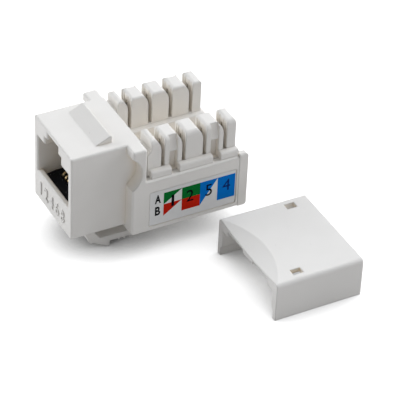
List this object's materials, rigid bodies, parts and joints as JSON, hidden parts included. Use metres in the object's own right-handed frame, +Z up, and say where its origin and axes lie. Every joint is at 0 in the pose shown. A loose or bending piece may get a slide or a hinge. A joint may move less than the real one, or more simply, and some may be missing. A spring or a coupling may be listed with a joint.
{
  "type": "keystone jack",
  "caption": "Snap-in socket for a network plug, with slotted terminal posts behind it, a sprung latch below and a loose cap that covers the posts.",
  "frame": {"origin": "centre of the front face, where the plug goes in and the faceplate opening lies", "axes": "+Y from the plug side to the rear, +Z up towards the fixed wedge and the terminal posts, +X to the right seen from the front"},
  "size_m": [0.0441, 0.0405, 0.023],
  "materials": {
    "white_moulding": "satin white ABS",
    "black_moulding": "black glass-filled plastic",
    "gold_wire": "gold-plated strip, smooth",
    "tinned_blade": "tin-plated, stamped",
    "board": "green solder mask",
    "label": "printed film"
  },
  "bodies": {
    "jack": {"housing": "white_moulding", "terminal_block": "white_moulding", "circuit_board": "board", "contact_insert": "black_moulding", "wiring_label_right": "label", "wiring_label_left": "label", "terminal_contact_1": "tinned_blade", "terminal_contact_2": "tinned_blade", "terminal_contact_3": "tinned_blade", "terminal_contact_4": "tinned_blade", "terminal_contact_5": "tinned_blade", "terminal_contact_6": "tinned_blade", "terminal_contact_7": "tinned_blade", "terminal_contact_8": "tinned_blade"},
    "latch": {"keystone_latch": "white_moulding"},
    "cap": {"dust_cap": "white_moulding"},
    "spring_1": {"contact_spring_1": "gold_wire"},
    "spring_2": {"contact_spring_2": "gold_wire"},
    "spring_3": {"contact_spring_3": "gold_wire"},
    "spring_4": {"contact_spring_4": "gold_wire"},
    "spring_5": {"contact_spring_5": "gold_wire"},
    "spring_6": {"contact_spring_6": "gold_wire"},
    "spring_7": {"contact_spring_7": "gold_wire"},
    "spring_8": {"contact_spring_8": "gold_wire"}
  },
  "joints": [
    {"name": "latch_flex", "type": "hinge", "parent": "jack", "child": "latch", "pos_m": [0, 0.0039, -0.00845], "axis": [1, 0, 0], "range_deg": [0, 13], "stiffness_Nm_per_rad": 0.15},
    {"name": "cap_lift", "type": "slide", "parent": "jack", "child": "cap", "axis": [0, 0, 1], "range_m": [0, 0.024]},
    {"name": "spring_1_flex", "type": "hinge", "parent": "jack", "child": "spring_1", "pos_m": [-0.00357, 0.00415, -0.00335], "axis": [1, 0, 0], "range_deg": [-16, 0], "stiffness_Nm_per_rad": 0.02},
    {"name": "spring_2_flex", "type": "hinge", "parent": "jack", "child": "spring_2", "pos_m": [-0.00255, 0.00415, -0.00335], "axis": [1, 0, 0], "range_deg": [-16, 0], "stiffness_Nm_per_rad": 0.02},
    {"name": "spring_3_flex", "type": "hinge", "parent": "jack", "child": "spring_3", "pos_m": [-0.00153, 0.00415, -0.00335], "axis": [1, 0, 0], "range_deg": [-16, 0], "stiffness_Nm_per_rad": 0.02},
    {"name": "spring_4_flex", "type": "hinge", "parent": "jack", "child": "spring_4", "pos_m": [-0.00051, 0.00415, -0.00335], "axis": [1, 0, 0], "range_deg": [-16, 0], "stiffness_Nm_per_rad": 0.02},
    {"name": "spring_5_flex", "type": "hinge", "parent": "jack", "child": "spring_5", "pos_m": [0.00051, 0.00415, -0.00335], "axis": [1, 0, 0], "range_deg": [-16, 0], "stiffness_Nm_per_rad": 0.02},
    {"name": "spring_6_flex", "type": "hinge", "parent": "jack", "child": "spring_6", "pos_m": [0.00153, 0.00415, -0.00335], "axis": [1, 0, 0], "range_deg": [-16, 0], "stiffness_Nm_per_rad": 0.02},
    {"name": "spring_7_flex", "type": "hinge", "parent": "jack", "child": "spring_7", "pos_m": [0.00255, 0.00415, -0.00335], "axis": [1, 0, 0], "range_deg": [-16, 0], "stiffness_Nm_per_rad": 0.02},
    {"name": "spring_8_flex", "type": "hinge", "parent": "jack", "child": "spring_8", "pos_m": [0.00357, 0.00415, -0.00335], "axis": [1, 0, 0], "range_deg": [-16, 0], "stiffness_Nm_per_rad": 0.02}
  ]
}
